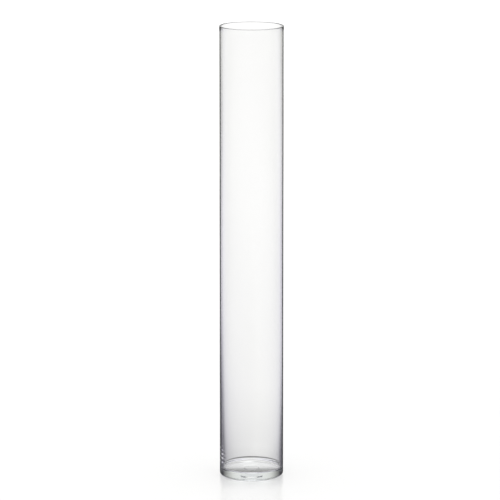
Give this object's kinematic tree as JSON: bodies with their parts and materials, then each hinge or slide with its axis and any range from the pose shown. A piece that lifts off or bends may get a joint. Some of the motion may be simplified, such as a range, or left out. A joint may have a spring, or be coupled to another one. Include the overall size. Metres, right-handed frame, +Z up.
{
  "type": "glass cylinder vase",
  "caption": "Tall straight-sided clear glass cylinder vase with a heavy rounded base, for cut stems and water.",
  "frame": {"origin": "centre of the standing plane, on the vase's axis", "axes": "+Z up along the vase's axis, out of its mouth; X and Y are free, because the vase is a body of revolution"},
  "size_m": [0.0998, 0.0998, 0.711],
  "materials": {
    "clear_glass": "polished clear soda-lime glass, faint cool grey in thick sections"
  },
  "bodies": {
    "root": {"glass_vessel": "clear_glass"}
  },
  "joints": []
}
